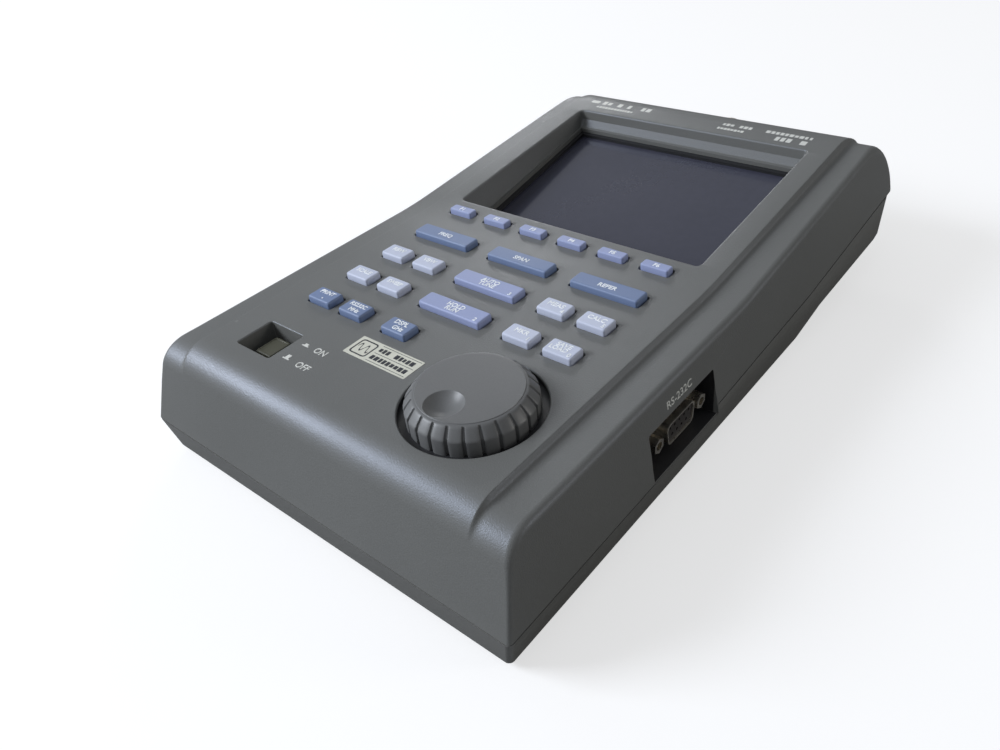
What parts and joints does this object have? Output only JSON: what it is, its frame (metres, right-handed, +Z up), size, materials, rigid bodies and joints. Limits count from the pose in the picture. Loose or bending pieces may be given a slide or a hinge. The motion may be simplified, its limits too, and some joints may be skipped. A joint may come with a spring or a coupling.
{
  "type": "handheld spectrum analyzer",
  "caption": "Handheld test instrument with tilted recessed screen, rubber-dome keypad, ribbed finger knob, push-lock power button, side serial port and top-end coaxial input.",
  "frame": {"origin": "middle of the footprint, on the plane the rubber feet rest on", "axes": "+X to the operator's right, +Y from the knob end to the display end, +Z up out of the keypad"},
  "size_m": [0.162, 0.27, 0.0555],
  "materials": {
    "case_grey": "fine satin texture",
    "case_grey_lower": "fine satin texture",
    "key_lavender": "smooth moulded",
    "key_blue": "smooth moulded",
    "key_pale": "smooth moulded",
    "knob_grey": "satin, ribbed",
    "button_olive": "satin",
    "black_gasket": "matt",
    "window_glass": "polished",
    "lcd_dark": "polished dark screen",
    "steel_sheet": "plated",
    "bright_steel": "turned",
    "nickel_warm": "plated",
    "contact_brass": "sprung strip",
    "diffuser_white": "translucent",
    "board_green": "solder mask",
    "silicone_grey": "matt",
    "black_plastic": "moulded",
    "insulator_dark": "moulded",
    "coax_brown": "jacket",
    "lamp_lens": "clear tinted",
    "battery_wrap": "shrink wrap",
    "stand_grey": "satin",
    "screw_black": "black oxide",
    "black_rubber": "matt",
    "ribbon_grey": "flat cable"
  },
  "bodies": {
    "case": {"top_case": "case_grey", "bottom_case": "case_grey_lower", "display_gasket": "black_gasket", "display_window": "window_glass", "lcd_glass": "lcd_dark", "lcd_frame": "steel_sheet", "backlight": "diffuser_white", "backlight_inverter": "board_green", "key_board": "board_green", "key_mat": "silicone_grey", "power_switch": "black_plastic", "encoder_body": "steel_sheet", "encoder_nut": "bright_steel", "main_board": "board_green", "rf_shield": "steel_sheet", "rf_lid": "steel_sheet", "rf_connector": "nickel_warm", "rf_nut": "nickel_warm", "rf_cable": "coax_brown", "dc_jack": "black_plastic", "charge_lamp": "lamp_lens", "serial_shell": "nickel_warm", "serial_insulator": "insulator_dark", "jack_screws": "nickel_warm", "battery_pack": "battery_wrap", "battery_contacts": "contact_brass", "case_screws": "screw_black", "board_screws": "bright_steel", "rubber_feet": "black_rubber", "buzzer": "black_plastic", "key_ribbon": "ribbon_grey"},
    "key_f1": {"key_f1": "key_lavender"},
    "key_f2": {"key_f2": "key_lavender"},
    "key_f3": {"key_f3": "key_lavender"},
    "key_f4": {"key_f4": "key_lavender"},
    "key_f5": {"key_f5": "key_lavender"},
    "key_f6": {"key_f6": "key_lavender"},
    "key_freq": {"key_freq": "key_blue"},
    "key_span": {"key_span": "key_blue"},
    "key_refer": {"key_refer": "key_blue"},
    "key_rbw": {"key_rbw": "key_pale"},
    "key_vbw": {"key_vbw": "key_pale"},
    "key_auto": {"key_auto": "key_lavender"},
    "key_meas": {"key_meas": "key_pale"},
    "key_calc": {"key_calc": "key_pale"},
    "key_scale": {"key_scale": "key_pale"},
    "key_sweep": {"key_sweep": "key_pale"},
    "key_hold": {"key_hold": "key_lavender"},
    "key_marker": {"key_marker": "key_pale"},
    "key_save": {"key_save": "key_pale"},
    "key_print": {"key_print": "key_blue"},
    "key_serial": {"key_serial": "key_blue"},
    "key_display": {"key_display": "key_blue"},
    "power_button": {"power_button": "button_olive"},
    "knob": {"knob": "knob_grey", "encoder_shaft": "bright_steel"},
    "battery_cover": {"battery_cover": "case_grey_lower"},
    "tilt_stand": {"tilt_stand": "stand_grey"}
  },
  "joints": [
    {"name": "key_f1_press", "type": "slide", "parent": "case", "child": "key_f1", "axis": [0, 0, -1], "range_m": [0, 0.0012], "stiffness_N_per_m": 400},
    {"name": "key_f2_press", "type": "slide", "parent": "case", "child": "key_f2", "axis": [0, 0, -1], "range_m": [0, 0.0012], "stiffness_N_per_m": 400},
    {"name": "key_f3_press", "type": "slide", "parent": "case", "child": "key_f3", "axis": [0, 0, -1], "range_m": [0, 0.0012], "stiffness_N_per_m": 400},
    {"name": "key_f4_press", "type": "slide", "parent": "case", "child": "key_f4", "axis": [0, 0, -1], "range_m": [0, 0.0012], "stiffness_N_per_m": 400},
    {"name": "key_f5_press", "type": "slide", "parent": "case", "child": "key_f5", "axis": [0, 0, -1], "range_m": [0, 0.0012], "stiffness_N_per_m": 400},
    {"name": "key_f6_press", "type": "slide", "parent": "case", "child": "key_f6", "axis": [0, 0, -1], "range_m": [0, 0.0012], "stiffness_N_per_m": 400},
    {"name": "key_freq_press", "type": "slide", "parent": "case", "child": "key_freq", "axis": [0, 0, -1], "range_m": [0, 0.0012], "stiffness_N_per_m": 400},
    {"name": "key_span_press", "type": "slide", "parent": "case", "child": "key_span", "axis": [0, 0, -1], "range_m": [0, 0.0012], "stiffness_N_per_m": 400},
    {"name": "key_refer_press", "type": "slide", "parent": "case", "child": "key_refer", "axis": [0, 0, -1], "range_m": [0, 0.0012], "stiffness_N_per_m": 400},
    {"name": "key_rbw_press", "type": "slide", "parent": "case", "child": "key_rbw", "axis": [0, 0, -1], "range_m": [0, 0.0012], "stiffness_N_per_m": 400},
    {"name": "key_vbw_press", "type": "slide", "parent": "case", "child": "key_vbw", "axis": [0, 0, -1], "range_m": [0, 0.0012], "stiffness_N_per_m": 400},
    {"name": "key_auto_press", "type": "slide", "parent": "case", "child": "key_auto", "axis": [0, 0, -1], "range_m": [0, 0.0012], "stiffness_N_per_m": 400},
    {"name": "key_meas_press", "type": "slide", "parent": "case", "child": "key_meas", "axis": [0, 0, -1], "range_m": [0, 0.0012], "stiffness_N_per_m": 400},
    {"name": "key_calc_press", "type": "slide", "parent": "case", "child": "key_calc", "axis": [0, 0, -1], "range_m": [0, 0.0012], "stiffness_N_per_m": 400},
    {"name": "key_scale_press", "type": "slide", "parent": "case", "child": "key_scale", "axis": [0, 0, -1], "range_m": [0, 0.0012], "stiffness_N_per_m": 400},
    {"name": "key_sweep_press", "type": "slide", "parent": "case", "child": "key_sweep", "axis": [0, 0, -1], "range_m": [0, 0.0012], "stiffness_N_per_m": 400},
    {"name": "key_hold_press", "type": "slide", "parent": "case", "child": "key_hold", "axis": [0, 0, -1], "range_m": [0, 0.0012], "stiffness_N_per_m": 400},
    {"name": "key_marker_press", "type": "slide", "parent": "case", "child": "key_marker", "axis": [0, 0, -1], "range_m": [0, 0.0012], "stiffness_N_per_m": 400},
    {"name": "key_save_press", "type": "slide", "parent": "case", "child": "key_save", "axis": [0, 0, -1], "range_m": [0, 0.0012], "stiffness_N_per_m": 400},
    {"name": "key_print_press", "type": "slide", "parent": "case", "child": "key_print", "axis": [0, 0, -1], "range_m": [0, 0.0012], "stiffness_N_per_m": 400},
    {"name": "key_serial_press", "type": "slide", "parent": "case", "child": "key_serial", "axis": [0, 0, -1], "range_m": [0, 0.0012], "stiffness_N_per_m": 400},
    {"name": "key_display_press", "type": "slide", "parent": "case", "child": "key_display", "axis": [0, 0, -1], "range_m": [0, 0.0012], "stiffness_N_per_m": 400},
    {"name": "power_press", "type": "slide", "parent": "case", "child": "power_button", "axis": [0, 0, -1], "range_m": [0, 0.003], "stiffness_N_per_m": 300},
    {"name": "knob_turn", "type": "hinge", "parent": "case", "child": "knob", "pos_m": [0.0373, -0.0938, 0.0462], "axis": [0, 0, 1], "continuous": true},
    {"name": "cover_lift", "type": "slide", "parent": "case", "child": "battery_cover", "axis": [0, 0, -1], "range_m": [0, 0.03]},
    {"name": "stand_fold", "type": "hinge", "parent": "case", "child": "tilt_stand", "pos_m": [0, 0.063, 0.01463], "axis": [-1, 0, 0], "range_deg": [0, 65]}
  ]
}
